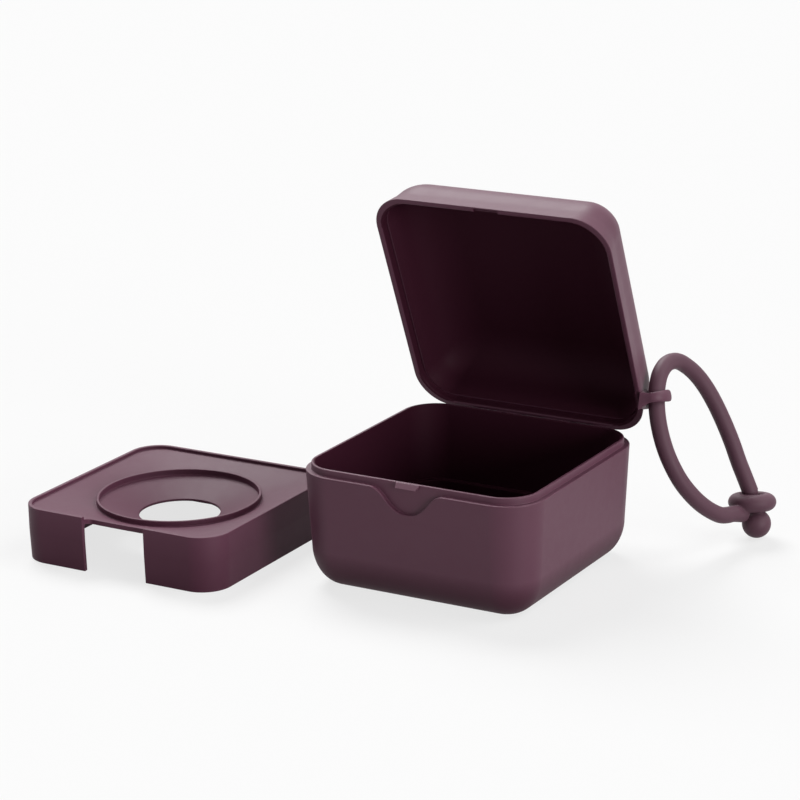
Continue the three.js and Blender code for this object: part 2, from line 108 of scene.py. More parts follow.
def smooth_line(points, steps):
    """The curve through the points, with as many steps between each two."""
    points = [Vector(point) for point in points]
    points = [points[0] * 2 - points[1]] + points + [points[-1] * 2 - points[-2]]
    line = []
    for before, start, end, after in zip(points, points[1:], points[2:], points[3:]):
        gap_before = (start - before).length ** 0.5
        gap = (end - start).length ** 0.5
        gap_after = (after - end).length ** 0.5
        leave = (start - before) / gap_before - (end - before) / (gap_before + gap) + (end - start) / gap
        arrive = (end - start) / gap - (after - start) / (gap + gap_after) + (after - end) / gap_after
        leave, arrive = leave * gap, arrive * gap
        bend = (end - start) * 3 - leave * 2 - arrive
        turn = (start - end) * 2 + leave + arrive
        for step in range(steps):
            t = step / steps
            line.append(start + leave * t + bend * t**2 + turn * t**3)
    return line + [points[-2]]


class Shade:
    """An output in a material's nodes, so that the material's maths can be written as expressions."""

    def __init__(self, tree, socket=None):
        self.tree = tree
        self.socket = socket

    def node(self, kind, inputs, output=0, **settings):
        """Any node: its type, its sockets' values or links, the output that is meant, and its settings."""
        node = self.tree.nodes.new(kind)
        for setting, value in settings.items():
            setattr(node, setting, value)
        for socket, value in inputs.items():
            if isinstance(value, Shade):
                self.tree.links.new(value.socket, node.inputs[socket])
            else:
                node.inputs[socket].default_value = value
        return Shade(self.tree, node.outputs[output] if len(node.outputs) else None)

    def maths(self, operation, first, second):
        return self.node("ShaderNodeMath", {0: first, 1: second}, operation=operation)

    def __add__(self, other):
        return self.maths("ADD", self, other)

    __radd__ = __add__

    def __mul__(self, other):
        return self.maths("MULTIPLY", self, other)

    __rmul__ = __mul__


def blank_material(name):
    """A material without nodes, and the shade that its nodes are made from."""
    material = bpy.data.materials.new(name)
    material.use_nodes = True
    material.node_tree.nodes.clear()
    return material, Shade(material.node_tree)


def tone_between(shade, share, first, second):
    """The colour between two, by a share that varies over the surface."""
    colours = {6: first, 7: second}  # the Mix node's colour sockets
    return shade.node("ShaderNodeMix", {"Factor": share, **colours}, output=2, data_type="RGBA")


def dress(piece, material):
    """Gives a piece its one material."""
    piece.data.materials.clear()
    piece.data.materials.append(material)


def piece_of(name, data):
    """A piece in the scene, from its mesh, its curve or its lamp."""
    piece = bpy.data.objects.new(name, data)
    bpy.context.scene.collection.objects.link(piece)
    return piece


def mesh_of(name, points, faces):
    """A mesh piece from points in millimetres, with its faces turned outwards."""
    data = bpy.data.meshes.new(name)
    data.from_pydata([Vector(point) * mm for point in points], [], faces)
    data.validate()
    form = bmesh.new()
    form.from_mesh(data)
    bmesh.ops.recalc_face_normals(form, faces=form.faces)
    form.to_mesh(data)
    form.free()
    return piece_of(name, data)


def settle(piece):
    """Works a piece's modifiers into its mesh."""
    graph = bpy.context.evaluated_depsgraph_get()
    graph.update()
    finished = bpy.data.meshes.new_from_object(piece.evaluated_get(graph))
    piece.modifiers.clear()
    piece.data = finished
    return piece


def soft_rod(route, radii, sides=32):
    """The points and faces of a round rod along a route, with flat ends."""
    route = [Vector(point) for point in route]
    side_way = (route[-1] - route[0]).orthogonal().normalized()
    points, faces = [], []
    for i, (place, radius) in enumerate(zip(route, radii)):
        along = (route[min(i + 1, len(route) - 1)] - route[max(i - 1, 0)]).normalized()
        side_way = (side_way - along * side_way.dot(along)).normalized()
        other_way = along.cross(side_way)
        for side in range(sides):
            turn = math.tau * side / sides
            points.append(place + (side_way * math.cos(turn) + other_way * math.sin(turn)) * radius)
    for ring in range(0, (len(route) - 1) * sides, sides):
        for side in range(sides):
            after = (side + 1) % sides
            faces.append((ring + side, ring + after, ring + sides + after, ring + sides + side))
    faces.append(tuple(reversed(range(sides))))
    faces.append(tuple(range((len(route) - 1) * sides, len(route) * sides)))
    return points, faces


def soft_ball(place, radius, steps=24):
    """The points and faces of a ball, as a short upright rod of many radii."""
    turns = [math.pi * (step + 0.5) / steps for step in range(steps)]
    route = [place - Vector((0, 0, radius * math.cos(turn))) for turn in turns]
    return soft_rod(route, [radius * math.sin(turn) for turn in turns], 48)


def melted(name, shells):
    """One soft piece from closed shells that run into each other, with a fillet where they meet."""
    points, faces = [], []
    for shell_points, shell_faces in shells:
        faces += [tuple(corner + len(points) for corner in face) for face in shell_faces]
        points += shell_points
    piece = mesh_of(name, points, faces)
    remesh = piece.modifiers.new("melt", "REMESH")
    remesh.mode = "VOXEL"
    remesh.voxel_size = melt_grain * mm
    ease = piece.modifiers.new("ease", "SMOOTH")
    ease.factor = 0.5
    ease.iterations = melt_passes
    settle(piece).data.shade_smooth()
    return piece


strap_line = smooth_line(strap_route, 6)
cord_data = bpy.data.curves.new("strap_cord_silicone", "CURVE")
cord_data.dimensions = "3D"
cord_data.bevel_depth = strap_radius * mm
cord_data.bevel_resolution = 8
cord_data.use_fill_caps = True
cord_spline = cord_data.splines.new("POLY")
cord_spline.points.add(len(strap_line) - 1)
for spline_point, place in zip(cord_spline.points, strap_line):
    spline_point.co = (*(place * mm), 1)
strap_cord = piece_of("strap_cord_silicone", cord_data)

# The eye is a thick ring with a round outside, and leans a little back.
ring_steps, crown_steps = 72, 24
ring_section = [(eye_bore + eye_bore_edge, -eye_half_height)]
for step in range(crown_steps + 1):
    turn = math.pi * (step / crown_steps - 0.5)
    reach = eye_outer_radius - eye_crown * (1 - math.cos(turn))
    ring_section.append((reach, eye_half_height * math.sin(turn)))
ring_section += [
    (eye_bore + eye_bore_edge, eye_half_height),
    (eye_bore, eye_half_height - eye_bore_edge),
    (eye_bore, eye_bore_edge - eye_half_height),
]
lean_axis = Vector((-math.cos(eye_lean_heading), -math.sin(eye_lean_heading), 0))
lean = Matrix.Rotation(eye_tilt, 3, lean_axis)
ring_points, ring_faces = [], []
section_count = len(ring_section)
for i in range(ring_steps):
    turn = math.tau * i / ring_steps
    i_after = (i + 1) % ring_steps
    for j, (reach, height) in enumerate(ring_section):
        j_after = (j + 1) % section_count
        at = Vector((reach * math.cos(turn), reach * math.sin(turn), height))
        ring_points.append(eye_place + lean @ at)
        ring_faces.append((
            i * section_count + j, i_after * section_count + j,
            i_after * section_count + j_after, i * section_count + j_after,
        ))

# The cord grows from a stub with a round end, low on the ring's near side.
stub_way = strap_line[0] - eye_place
stub_way.z = 0
stub_root = eye_place + stub_way.normalized() * (eye_outer_radius - stub_bite) - Vector((0, 0, stub_drop))
stub_route = [stub_root, strap_line[0], strap_line[4], strap_line[8]]
stub_radii = [strap_radius, strap_radius, strap_radius * entry_share, strap_radius * stub_end_share]
strap_eye = melted("strap_eye_silicone", [
    (ring_points, ring_faces), soft_ball(stub_root, strap_radius), soft_rod(stub_route, stub_radii),
])

# The ball hangs on a thin neck that widens into the cord above the ring.
neck_end = ball_place.lerp(strap_line[-1], neck_share)
neck_route = [ball_place, neck_end, strap_line[-1], strap_line[-5]]
neck_radii = [neck_radius, neck_radius, strap_radius * entry_share, strap_radius * neck_end_share]
strap_ball = melted("strap_ball_silicone", [
    soft_ball(ball_place, ball_radius), soft_rod(neck_route, neck_radii),
])

silicone_colour = (0.088, 0.035, 0.055, 1)
silicone_dusty_colour = (0.104, 0.047, 0.068, 1)
silicone_roughness = 0.52
dust_roughness = 0.12
skin_height = 0.03  # of the silicone's fine grain, in millimetres
silicone, shade = blank_material("strap_silicone")
place = shade.node("ShaderNodeTexCoord", {}, output="Object")
dust = shade.node("ShaderNodeTexNoise", {"Vector": place, "Scale": 160.0, "Detail": 3.0})
skin = shade.node("ShaderNodeTexNoise", {"Vector": place, "Scale": 2600.0, "Detail": 2.0})
bump = shade.node("ShaderNodeBump", {"Height": skin, "Strength": 0.25, "Distance": skin_height * mm})
surface = shade.node("ShaderNodeBsdfPrincipled", {
    "Base Color": tone_between(shade, dust, silicone_colour, silicone_dusty_colour),
    "Roughness": silicone_roughness + dust_roughness * dust,
    "Normal": bump,
    "IOR": 1.41,
    "Specular IOR Level": 0.45,
})
shade.node("ShaderNodeOutputMaterial", {"Surface": surface})

for piece, node in ((strap_cord, "strap_cord"), (strap_eye, "strap_eye"), (strap_ball, "strap_ball")):
    dress(piece, silicone)
    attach(piece, "strap")
    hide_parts(node)
strap_line[0] * mm


# Case base
# One moulding of plum polypropylene with a matte outside: leaning walls on a big foot rounding, a ledge
# with a thin lip for the lid, a finger recess with a catch in front, and an inner shoulder for the tray.
base_half = 46
base_corner = 14.8
ledge_height = 42.5
lip_rise = 2.4
lip_inset = 2
lip_wall = 1.3
lip_round = 0.45
base_draft = 1.6
foot_rise = 14.5
foot_inset = 11
floor_thickness = 2.2
floor_fillet = 9
shoulder_height = 16
shoulder_width = 2.1
shoulder_round = 0.5
edge_round = 0.42
small_round = 0.2
recess_half = 14.5
recess_drop = 8.6
recess_flare_share = 0.59
recess_floor_share = 0.55
catch_top_width = 9.3
catch_foot_width = 8
catch_rise = 0.7
catch_height = 1.6
catch_top_depth = 0.05
catch_foot_depth = 1.9
catch_edge = 0.15
lip_half = base_half - lip_inset
lip_top = ledge_height + lip_rise
base_centre = base_half - base_corner
corner_steps = 20
sink = 1  # how far a joined form reaches into what carries it
hair = 0.05  # keeps two faces from lying in one plane

# The hinge's axis runs a little behind the back wall and below the ledge, through five knuckles.
hinge_behind = 1.5
hinge_below = 1.3
hinge_y = base_half + hinge_behind
hinge_z = ledge_height - hinge_below
hinge_width = 50
knuckle_count = 5
knuckle_radius = 2.2
knuckle_side_gap = 0.4
knuckle_gap = 0.1
pocket_radius = knuckle_radius + knuckle_gap
pin_radius = 0.9
pin_gap = 0.3


def quarter(steps):
    """The sines and cosines of a quarter turn in even steps, for a small rounding."""
    turns = [math.pi / 2 * step / steps for step in range(steps + 1)]
    return [(math.sin(turn), math.cos(turn)) for turn in turns]


def recess_stations(steps):
    """Along the front: the place, the ledge's drop and the edge's way out of the wall, sideways and up."""
    flare, floor = recess_half * recess_flare_share, recess_half * recess_floor_share
    stations = []
    for step in range(steps + 1):
        t = step / steps
        s = 1 - t
        x = -recess_half * s**3 - 3 * flare * s * s * t - 3 * floor * s * t * t
        drop = recess_drop * (3 * s * t * t + t**3)
        along = 3 * (recess_half - flare) * s * s + 6 * (flare - floor) * s * t + 3 * floor * t * t
        down = recess_drop * 6 * s * t
        way = Vector((down, along)).normalized()
        stations.append((x, drop, way.x, way.y))
    mirrored = [(-x, drop, -aside, up) for x, drop, aside, up in reversed(stations[:-1])]
    return stations + mirrored


plain_side = ((-1, 0, 0, 1), (1, 0, 0, 1))  # the two stations at the ends of a side without a recess


def square_columns(steps, front=plain_side):
    """The upright columns of a square wall: a place on the inner square, the way out, and its station."""
    columns = []
    for side in range(4):
        facing = math.pi / 2 * (side - 1)
        out = Vector((math.cos(facing), math.sin(facing), 0))
        along = Vector((-out.y, out.x, 0))
        for station in front if side == 0 else plain_side:
            columns.append((out + along * station[0], out, station))
        for step in range(1, steps):
            turn = facing + math.pi / 2 * step / steps
            columns.append((out + along, Vector((math.cos(turn), math.sin(turn), 0)), plain_side[1]))
    return columns


def wall_of(name, columns, closed=False):
    """A mesh piece from upright columns of points, all of one length, with flat caps or round a hollow."""
    rows = len(columns[0])
    points = [point for column in columns for point in column]
    faces = []
    for i in range(len(columns)):
        j = (i + 1) % len(columns)
        for row in range(rows if closed else rows - 1):
            after = (row + 1) % rows
            faces.append((i * rows + row, j * rows + row, j * rows + after, i * rows + after))
    if not closed:
        faces.append(tuple(i * rows for i in reversed(range(len(columns)))))
        faces.append(tuple(i * rows + rows - 1 for i in range(len(columns))))
    return mesh_of(name, points, faces)


def prism(outline, start, end, axis=0):
    """A closed solid with a flat outline, between two places along X, or along Z where the axis is 2."""
    count = len(outline)
    if axis == 0:
        points = [(at, *corner) for at in (start, end) for corner in outline]
    else:
        points = [(*corner, at) for at in (start, end) for corner in outline]
    faces = [(i, (i + 1) % count, count + (i + 1) % count, count + i) for i in range(count)]
    faces += [tuple(reversed(range(count))), tuple(range(count, count * 2))]
    return mesh_of("prism", points, faces)


def barrel(radius, from_x, to_x, edge=0.0):
    """A round bar on the hinge's axis, with its ends' edges broken."""
    rings = [(from_x, radius - edge), (from_x + edge, radius), (to_x - edge, radius), (to_x, radius - edge)]
    if not edge:
        rings = [rings[0], rings[-1]]
    route = [(x, hinge_y, hinge_z) for x, _ in rings]
    return mesh_of("barrel", *soft_rod(route, [size for _, size in rings], 48))


def soften(piece, width, turn):
    """Rounds a piece's edges that turn by more than an angle."""
    edge = piece.modifiers.new("edge", "BEVEL")
    edge.width = width * mm
    edge.segments = 3
    edge.limit_method = "ANGLE"
    edge.angle_limit = math.radians(turn)
    return settle(piece)


def work(piece, tool, operation):
    """Cuts a tool out of a piece or joins it to the piece, and puts the tool away."""
    step = piece.modifiers.new("work", "BOOLEAN")
    step.operation = operation
    step.solver = "EXACT"
    step.object = tool
    settle(piece)
    tool_data = tool.data
    bpy.data.objects.remove(tool)
    bpy.data.meshes.remove(tool_data)


def even_light(piece, turn=35):
    """Smooth shading that keeps the flats flat and the sharp edges sharp."""
    piece.data.shade_smooth()
    piece.data.set_sharp_from_angle(angle=math.radians(turn))
    weigh = piece.modifiers.new("even_light", "WEIGHTED_NORMAL")
    weigh.keep_sharp = True


def mark_painted_shade(piece, middle=(0, 0, 0), reach=0.0, foot=0.0, foot_painted_shade=0.0):
    """Marks where shade is painted on a piece: fully on the inner faces within reach of its middle, and
    fading up from its foot.
    """
    painted_shade = piece.data.attributes.new("painted_shade", "FLOAT", "POINT")
    middle = Vector(middle) * mm
    for vertex, mark in zip(piece.data.vertices, painted_shade.data):
        near = max(abs(vertex.co.x), abs(vertex.co.y)) < reach * mm
        inside = near and vertex.normal.dot(middle - vertex.co) > 0
        low = max(0, 1 - vertex.co.z / foot / mm) if foot else 0
        # painted shade: 1 on the inner faces, and towards the foot it grows darker by foot_painted_shade
        mark.value = 1 if inside else foot_painted_shade * low * (2 - low)


def knuckle_places(first):
    """The places along the hinge of one leaf's knuckles, the base's even ones or the lid's odd ones."""
    pitch = hinge_width / knuckle_count
    places = []
    for i in range(first, knuckle_count, 2):
        start = (i - knuckle_count / 2) * pitch + knuckle_side_gap / 2
        places.append((start, start + pitch - knuckle_side_gap))
    return places


def clear_knuckles(piece, first):
    """Cuts room into one leaf for the other leaf's knuckles."""
    for from_x, to_x in knuckle_places(first):
        pocket = barrel(pocket_radius, from_x - knuckle_side_gap, to_x + knuckle_side_gap)
        work(piece, pocket, "DIFFERENCE")


def bore_knuckles(piece):
    """Bores a leaf's knuckles for the pin."""
    bore_end = hinge_width / 2 + sink
    work(piece, barrel(pin_radius + pin_gap, -bore_end, bore_end), "DIFFERENCE")


def base_column(place, out, station):
    """One column of the base, from the underside up the wall, over the ledge and the lip, to the floor."""
    _, drop, aside, up = station
    ledge = ledge_height - drop
    rows = []  # the inset from the base's widest outline, the height, and the slide along the wall

    def lean(height):
        return base_draft * (ledge_height - height) / (ledge_height - foot_rise)

    # The foot's rounding and the leaning wall.
    for sine, cosine in quarter(14):
        rows.append((base_draft + foot_inset * (1 - sine), foot_rise * (1 - cosine), 0))
    wall_top = ledge - up * edge_round
    for share in (0.2, 0.4, 0.6, 0.8, 0.93):  # of the wall's height
        height = foot_rise + (wall_top - foot_rise) * share
        rows.append((lean(height), height, -aside * edge_round * share))
    # The ledge's edge and the ledge, up to the foot of the lip.
    for sine, cosine in quarter(5):
        below = edge_round * (1 - sine)
        height = ledge - up * below
        rows.append((lean(height) + edge_round * (1 - cosine), height, -aside * below))
    for sine, cosine in quarter(3):
        lift = small_round * (1 - cosine)
        rows.append((lip_inset - small_round * (1 - sine), ledge + up * lift, aside * lift))
    # The lip, up its outside and down its inside.
    for share in (0.35, 0.7):  # of the lip's height
        rows.append((lip_inset, ledge + (lip_top - lip_round - ledge) * share, 0))
    for sine, cosine in quarter(5):
        rows.append((lip_inset + lip_round * (1 - cosine), lip_top - lip_round * (1 - sine), 0))
    inner = lip_inset + lip_wall
    for sine, cosine in quarter(5):
        rows.append((inner - lip_round * (1 - sine), lip_top - lip_round * (1 - cosine), 0))
    # The shoulder that carries the tray, and the wall below it down into the floor.
    for sine, cosine in quarter(3):
        lift = small_round * (1 - sine)
        rows.append((inner + small_round * (1 - cosine), shoulder_height + lift, 0))
    inner += shoulder_width
    for sine, cosine in quarter(4):
        rows.append((
            inner - shoulder_round * (1 - sine), shoulder_height - shoulder_round * (1 - cosine), 0,
        ))
    for sine, cosine in quarter(12):
        rows.append((inner + floor_fillet * (1 - cosine), floor_thickness + floor_fillet * (1 - sine), 0))
    along = Vector((-out.y, out.x, 0))
    start = place * base_centre
    return [
        start + out * (base_corner - inset) + along * slide + Vector((0, 0, height))
        for inset, height, slide in rows
    ]


recess = [(x / base_centre, drop, aside, up) for x, drop, aside, up in recess_stations(26)]
base_columns = square_columns(corner_steps, [plain_side[0], *recess, plain_side[1]])
base_shell = wall_of("case_base_shell", [base_column(*column) for column in base_columns])

# The even knuckles are the base's, each on a web that slants down into the back wall.
clear_knuckles(base_shell, 1)
slant = knuckle_radius * math.sqrt(0.5)
web_top = ledge_height - hair
base_web = [
    (base_half - sink, web_top),
    (hinge_y, web_top),
    (hinge_y + slant, hinge_z - slant),
    (base_half - sink, hinge_z - slant * 2 - (hinge_y - base_half + sink)),
]
for from_x, to_x in knuckle_places(0):
    work(base_shell, barrel(knuckle_radius, from_x, to_x, small_round), "UNION")
    work(base_shell, prism(base_web, from_x, to_x), "UNION")
bore_knuckles(base_shell)

# The catch is a small ramp on the lip that is wider and shallower at its top.
catch_foot = ledge_height + catch_rise
catch_points = []
for half_width, height, depth in (
    (catch_foot_width / 2, catch_foot, catch_foot_depth),
    (catch_top_width / 2, catch_foot + catch_height, catch_top_depth),
):
    for x, y in ((-half_width, -depth), (half_width, -depth), (half_width, sink), (-half_width, sink)):
        catch_points.append((x, y - lip_half, height))
catch = mesh_of("case_base_catch", catch_points, [
    (3, 2, 1, 0), (4, 5, 6, 7), (0, 1, 5, 4), (1, 2, 6, 5), (2, 3, 7, 6), (3, 0, 4, 7),
])
work(base_shell, soften(catch, catch_edge, turn=40), "UNION")
# Painted shade: the base's inside is painted dark, and its foot grows darker towards the floor.
mark_painted_shade(
    base_shell, middle=(0, 0, ledge_height - lip_round), reach=lip_half - lip_wall + small_round,
    foot=foot_rise, foot_painted_shade=0.8,
)
even_light(base_shell)

plastic_colour = (0.100, 0.031, 0.057, 1)
plastic_worn_colour = (0.110, 0.038, 0.065, 1)
# Painted shade: a darker, duller and less glossy copy of the plastic, for the hollows and the foot.
plastic_painted_shade_colour = (0.042, 0.009, 0.019, 1)
plastic_painted_shade_roughness = 0.6
plastic_painted_shade_shine = 0.08
handling_roughness = 0.1
swell_height = 0.1  # of the moulding's slow waves, in millimetres
spark_height = 0.03  # of its fine grain


def moulded_plastic(name, roughness, grain, shine=0.38):
    """Matte moulded plastic: a fine grain, a little wear in its gloss, and painted shade where the mesh is
    marked, as a darker, less glossy copy of the plastic.
    """
    material, shade = blank_material(name)
    place = shade.node("ShaderNodeTexCoord", {}, output="Object")
    broad = shade.node("ShaderNodeTexNoise", {"Vector": place, "Scale": 70.0, "Detail": 2.0})
    handled = shade.node("ShaderNodeTexNoise", {"Vector": place, "Scale": 320.0, "Detail": 4.0})
    sparks = shade.node("ShaderNodeTexNoise", {"Vector": place, "Scale": 3800.0, "Detail": 2.0})
    painted_shade = shade.node("ShaderNodeAttribute", {}, output="Fac", attribute_name="painted_shade")
    swell = shade.node("ShaderNodeBump", {"Height": broad, "Strength": 0.2, "Distance": swell_height * mm})
    bump = shade.node("ShaderNodeBump", {
        "Height": sparks, "Strength": grain, "Distance": spark_height * mm, "Normal": swell,
    })
    outer = shade.node("ShaderNodeBsdfPrincipled", {
        "Base Color": tone_between(shade, broad, plastic_colour, plastic_worn_colour),
        "Roughness": roughness + handling_roughness * handled,
        "Normal": bump,
        "IOR": 1.5,
        "Specular IOR Level": shine,
    })
    # The inner surface is the painted shade: the plastic darker and with almost no gloss, mixed in by the
    # mark.
    inner = shade.node("ShaderNodeBsdfPrincipled", {
        "Base Color": plastic_painted_shade_colour,
        "Roughness": plastic_painted_shade_roughness,
        "Normal": bump,
        "IOR": 1.5,
        "Specular IOR Level": plastic_painted_shade_shine,
    })
    surface = shade.node("ShaderNodeMixShader", {0: painted_shade, 1: outer, 2: inner})
    shade.node("ShaderNodeOutputMaterial", {"Surface": surface})
    return material


shell_plastic = moulded_plastic("shell_plastic", roughness=0.46, grain=0.35)
dress(base_shell, shell_plastic)
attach(base_shell, "case")
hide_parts("case_base")


# Lid
# One moulding of the same plastic: a short leaning skirt under a deep crown, a rim with a step inside for
# the base's lip, an eyelet on the right wall, and knuckles with stop heels behind.
lid_rest_gap = 0.3
lid_overhang = 0.65
lid_half = base_half + lid_overhang
lid_corner = 13.6
lid_mouth = ledge_height + lid_rest_gap
lid_depth = 24.3
lid_skirt = 8.4
lid_draft = 2.4
crown_inset = 16
crown_corner_share = 0.35
crown_ease = 3  # over this much height either way the skirt runs into the crown
lid_wall = 2.9
lid_roof = 2.5
rebate_depth = 2.8
rebate_gap = 0.3
rebate_half = lip_half + rebate_gap
rebate_corner = lip_half - base_centre + rebate_gap
rim_round = 0.4
rim_inner_round = 1
painted_shade_rim_share = 0.3  # how far the painted shade comes out over the rim's inner rounding
step_round = 0.4
groove_gap = 0.25
lid_open = math.radians(67.3)
lid_stop = math.radians(70.5)


def crown(wall, roof, steps=22, ease_steps=6):
    """The lid's profile from the skirt to the roof's middle: half widths, corner radii and heights."""
    rise = lid_depth - lid_skirt - roof
    inset = crown_inset - wall + roof if wall else crown_inset
    half = lid_half - lid_draft - wall
    corner = lid_corner - lid_draft - wall

    def arch(height):
        lift = (height - lid_skirt) / rise
        share = 1 - math.sqrt(max(0, 1 - lift**2))
        return half - inset * share, corner * (1 - share * (1 - crown_corner_share))

    lean = lid_draft / lid_skirt
    ease_start, ease_end = lid_skirt - crown_ease, lid_skirt + crown_ease
    start_half = half + lean * crown_ease
    end_half, end_corner = arch(ease_end)
    lift = crown_ease / rise
    end_slope = -inset * lift / math.sqrt(1 - lift**2) / rise
    span = ease_end - ease_start
    start_corner = corner + lean * crown_ease
    profile = []
    # Here the skirt's straight lean and the arch's slope run into each other.
    for step in range(ease_steps):
        t = step / ease_steps
        blend = (
            start_half * (1 - 3 * t**2 + 2 * t**3) - lean * span * (t - 2 * t**2 + t**3)
            + end_half * (3 * t**2 - 2 * t**3) + end_slope * span * (t**3 - t**2)
        )
        profile.append((blend, start_corner + (end_corner - start_corner) * t, ease_start + span * t))
    first = math.asin(lift)
    for step in range(steps + 1):
        turn = first + (math.pi / 2 - first) * step / steps
        height = lid_skirt + rise * math.sin(turn)
        profile.append((*arch(height), height))
    return profile


def lid_form(name, rows):
    """A closed square form from rows of half widths, corner radii and heights above the lid's mouth."""
    columns = []
    for place, out, _ in square_columns(corner_steps):
        columns.append([
            place * (half - corner) + out * corner + Vector((0, 0, lid_mouth + height))
            for half, corner, height in rows
        ])
    return wall_of(name, columns)


# The rows run from the roof's middle down the inside, over the step and round the rim, and up the outside.
lid_rows = list(reversed(crown(lid_wall, lid_roof)))
step_half = lid_half - lid_draft * rebate_depth / lid_skirt - lid_wall
step_corner = lid_corner - lid_half + step_half
for sine, cosine in quarter(4):
    inset = step_round * (1 - cosine)
    lid_rows.append((step_half + inset, step_corner + inset, rebate_depth + step_round * (1 - sine)))
for sine, cosine in quarter(3):
    inset = small_round * (1 - sine)
    lid_rows.append((rebate_half - inset, rebate_corner - inset, rebate_depth - small_round * (1 - cosine)))
hollow_rows = lid_rows + [(rebate_half, rebate_corner, -sink)]
for sine, cosine in quarter(5):
    outset = rim_inner_round * (1 - cosine)
    lid_rows.append((rebate_half + outset, rebate_corner + outset, rim_inner_round * (1 - sine)))
for sine, cosine in quarter(6):
    height = rim_round * (1 - cosine)
    inset = rim_round * (1 - sine) + lid_draft * height / lid_skirt
    lid_rows.append((lid_half - inset, lid_corner - inset, height))
lid_rows += crown(0, 0)
lid_shell = lid_form("lid_shell", lid_rows)

# The rim takes the catch in a groove that is open below and follows the catch's slope.
groove_half = catch_top_width / 2 + groove_gap
groove_foot = -lip_half - catch_foot_depth - groove_gap
groove = [
    (groove_foot, lid_mouth - sink), (groove_foot, catch_foot),
    (-lip_half - catch_top_depth - groove_gap, catch_foot + catch_height),
    (sink - lip_half, lid_mouth + rebate_depth), (sink - lip_half, lid_mouth - sink),
]
work(lid_shell, prism(groove, -groove_half, groove_half), "DIFFERENCE")

# The eyelet is a thick rounded loop that leans: its hole is oval, and its legs spread into the wall.
eyelet_place = Vector((lid_half + 3.8, 32.1, lid_mouth + 4.43))
eyelet_tilt = math.radians(-54.3)
eyelet_lift = math.radians(15)
eyelet_thickness = 3.5
eyelet_tip_thickness = 4.3
eyelet_bar = 1.45
eyelet_flare = 1.4
eyelet_hole_across = 7.2
eyelet_hole_along = 10.2
eyelet_root = 7.2
eyelet_back = 1.6  # how soon the round loop turns into two straight legs
eyelet_leg_share = 0.78
eyelet_flare_curve = 1.6
eyelet_tip_curve = 3
eyelet_round_share = 0.9  # of the half thickness
eyelet_side_round = 0.7
eyelet_foot_start = 0.5  # from here to the wall the legs get thicker
eyelet_foot_reach = 4.5
eyelet_foot_drop = 1.9
eyelet_foot_lift = 1.2
eyelet_steps = 96
eyelet_turn = Matrix.Rotation(-eyelet_tilt, 3, "X") @ Matrix.Rotation(-eyelet_lift, 3, "Y")


def eyelet_point(edge, inset, height):
    """A point of the eyelet's loop, with the legs' thickening towards the wall."""
    at = edge + inset
    foot = min(1, max(0, (eyelet_foot_start - at.x) / eyelet_foot_reach)) ** 2
    at.z = height - foot * eyelet_foot_drop if height < 0 else height + foot * eyelet_foot_lift
    return eyelet_place + eyelet_turn @ at


eyelet_columns = []
for step in range(eyelet_steps):
    turn = math.tau * step / eyelet_steps
    across, along = math.cos(turn), math.sin(turn)
    hole = Vector((eyelet_hole_across / 2 * across, eyelet_hole_along / 2 * along, 0))
    rim = Vector((
        (eyelet_hole_across / 2 + eyelet_bar) * across, (eyelet_hole_along / 2 + eyelet_bar) * along, 0,
    ))
    if across < 0:
        back = min(1, -across * eyelet_back)
        rim.x = -eyelet_root * back
        spread = eyelet_hole_along / 2 + eyelet_bar + eyelet_flare * back**eyelet_flare_curve
        rim.y = spread * max(-1, min(1, along / eyelet_leg_share))
    out = (rim - hole).normalized()
    tip = max(0, across) ** eyelet_tip_curve
    half_thickness = (eyelet_thickness + (eyelet_tip_thickness - eyelet_thickness) * tip) / 2
    eyelet_round = half_thickness * eyelet_round_share
    column = []
    # Up the outside of the bar, then down the side of the hole.
    for sine, cosine in quarter(6):
        height = eyelet_round * (1 - cosine) - half_thickness
        column.append(eyelet_point(rim, -out * eyelet_side_round * (1 - sine), height))
    for sine, cosine in quarter(6):
        height = half_thickness - eyelet_round * (1 - sine)
        column.append(eyelet_point(rim, -out * eyelet_side_round * (1 - cosine), height))
    for sine, cosine in quarter(6):
        height = half_thickness - eyelet_round * (1 - cosine)
        column.append(eyelet_point(hole, out * eyelet_side_round * (1 - sine), height))
    for sine, cosine in quarter(6):
        height = eyelet_round * (1 - sine) - half_thickness
        column.append(eyelet_point(hole, out * eyelet_side_round * (1 - cosine), height))
    eyelet_columns.append(column)
eyelet = wall_of("eyelet", eyelet_columns, closed=True)
base_side = lid_half + groove_gap
under_rim = [(0, 0), (base_side, 0), (base_side, base_half), (0, base_half)]
work(eyelet, prism(under_rim, 0, lid_mouth, axis=2), "DIFFERENCE")

# The odd knuckles are the lid's, each on a web and with a heel that stops the open lid at the base's wall.
clear_knuckles(lid_shell, 0)
web_rise = 6.5
web_turn = math.radians(30)
web_inner = lid_half - lid_draft * (web_rise - lid_mouth + hinge_z) / lid_skirt - sink
lid_web = [
    (hinge_y, hinge_z),
    (hinge_y + knuckle_radius * math.cos(web_turn), hinge_z + knuckle_radius * math.sin(web_turn)),
    (web_inner, hinge_z + web_rise),
    (lid_half - sink, lid_mouth + hair),
]
heel_reach = 4
heel_width = 1.6
contact = knuckle_side_gap - (hinge_y - base_half)  # from the axis to where a heel meets the wall
heel_drop = -math.sqrt(heel_reach**2 - contact**2)
heel_turn = Matrix.Rotation(lid_stop, 2)
lid_heel = []
for corner in ((contact + heel_width, heel_drop), (slant, -slant), (contact, 0), (contact, heel_drop)):
    turned = heel_turn @ Vector(corner)
    lid_heel.append((hinge_y + turned.x, hinge_z + turned.y))
for from_x, to_x in knuckle_places(1):
    work(lid_shell, barrel(knuckle_radius, from_x, to_x, small_round), "UNION")
    work(lid_shell, prism(lid_web, from_x, to_x), "UNION")
    work(lid_shell, prism(lid_heel, from_x, to_x), "UNION")
